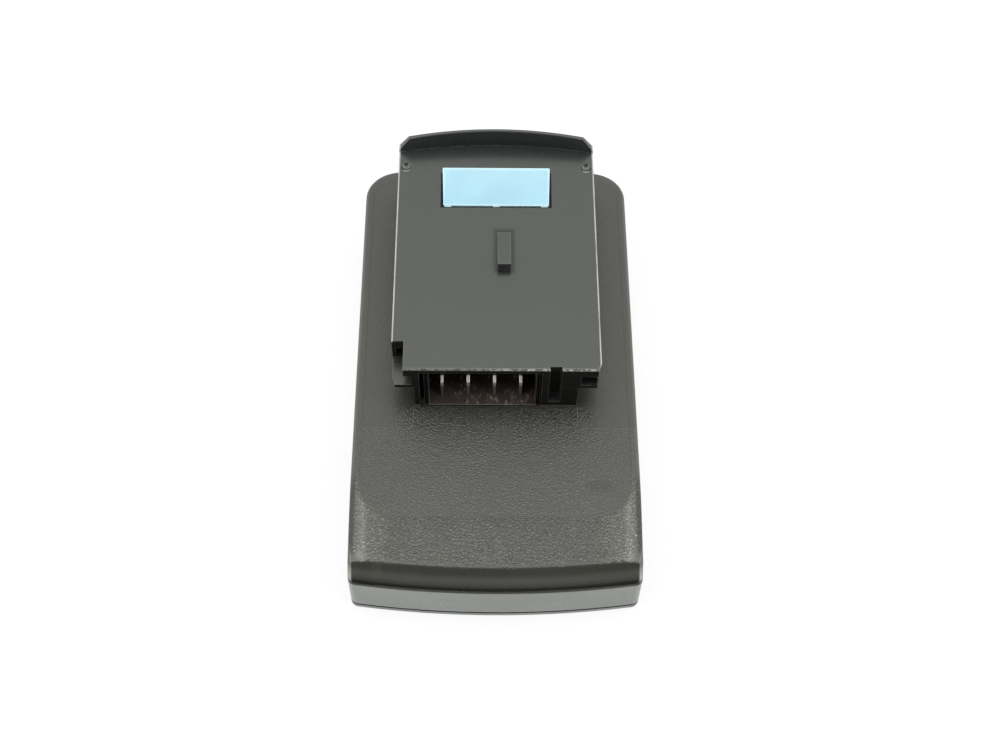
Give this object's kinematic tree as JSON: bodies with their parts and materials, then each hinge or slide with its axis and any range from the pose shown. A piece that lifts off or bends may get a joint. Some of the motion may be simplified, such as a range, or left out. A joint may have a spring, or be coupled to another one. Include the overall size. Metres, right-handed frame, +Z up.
{
  "type": "power tool battery",
  "caption": "Slide-on battery pack for a cordless tool: low body, raised slide plate with rails, stop lip, sprung latch with release button and bladed terminal socket.",
  "frame": {"origin": "middle of the bounding box on the surface that the pack lies on", "axes": "+Z up through the slide plate, +Y along the pack from the terminals to the latch, +X to the right seen from the terminals"},
  "size_m": [0.078, 0.139, 0.0482],
  "materials": {
    "housing_plastic": "moulded, satin on the slide plate and grained on the body",
    "cover_plastic": "moulded, satin",
    "latch_plastic": "moulded, smooth",
    "inner_plastic": "moulded, plain",
    "terminal_plastic": "moulded, glass filled",
    "connector_plastic": "moulded, plain",
    "screw_steel": "zinc plated",
    "spring_steel": "drawn wire",
    "blade_nickel": "nickel plated",
    "link_nickel": "nickel strip",
    "board_laminate": "lacquered laminate",
    "component_case": "moulded",
    "shunt_alloy": "rolled",
    "capacitor_can": "sleeved can",
    "thermistor_glass": "epoxy bead",
    "cell_can": "shrink sleeve over a can",
    "insulation_paper": "pressed paper",
    "flex_film": "polyimide film",
    "foam": "closed cell"
  },
  "bodies": {
    "pack": {"top_housing": "housing_plastic", "bottom_cover": "cover_plastic", "cover_screws": "screw_steel", "latch_spring_left": "spring_steel", "latch_spring_right": "spring_steel", "latch_retainer": "inner_plastic", "retainer_screws": "screw_steel", "terminal_block": "terminal_plastic", "terminal_blade_1": "blade_nickel", "terminal_blade_2": "blade_nickel", "terminal_blade_3": "blade_nickel", "terminal_blade_4": "blade_nickel", "circuit_board": "board_laminate", "board_screws": "screw_steel", "power_transistors": "component_case", "capacitor": "capacitor_can", "control_chip": "component_case", "shunt_resistor": "shunt_alloy", "sense_connector": "connector_plastic", "chip_components": "component_case", "thermistor": "thermistor_glass", "cell_1": "cell_can", "cell_2": "cell_can", "cell_3": "cell_can", "cell_4": "cell_can", "cell_5": "cell_can", "cell_6": "cell_can", "cell_holder_left": "inner_plastic", "cell_holder_right": "inner_plastic", "insulator_rings": "insulation_paper", "left_links": "link_nickel", "right_links": "link_nickel", "positive_strap": "link_nickel", "negative_strap": "link_nickel", "sense_flex_left": "flex_film", "sense_flex_right": "flex_film", "left_insulation_sheet": "insulation_paper", "right_insulation_sheet": "insulation_paper", "front_foam": "foam", "rear_foam": "foam"},
    "latch": {"latch": "latch_plastic"}
  },
  "joints": [
    {"name": "latch_press", "type": "slide", "parent": "pack", "child": "latch", "axis": [0, 0, 1], "range_m": [-0.0045, 0], "stiffness_N_per_m": 700, "springref_m": 0.004, "deforming": ["latch_spring_left", "latch_spring_right"]}
  ]
}
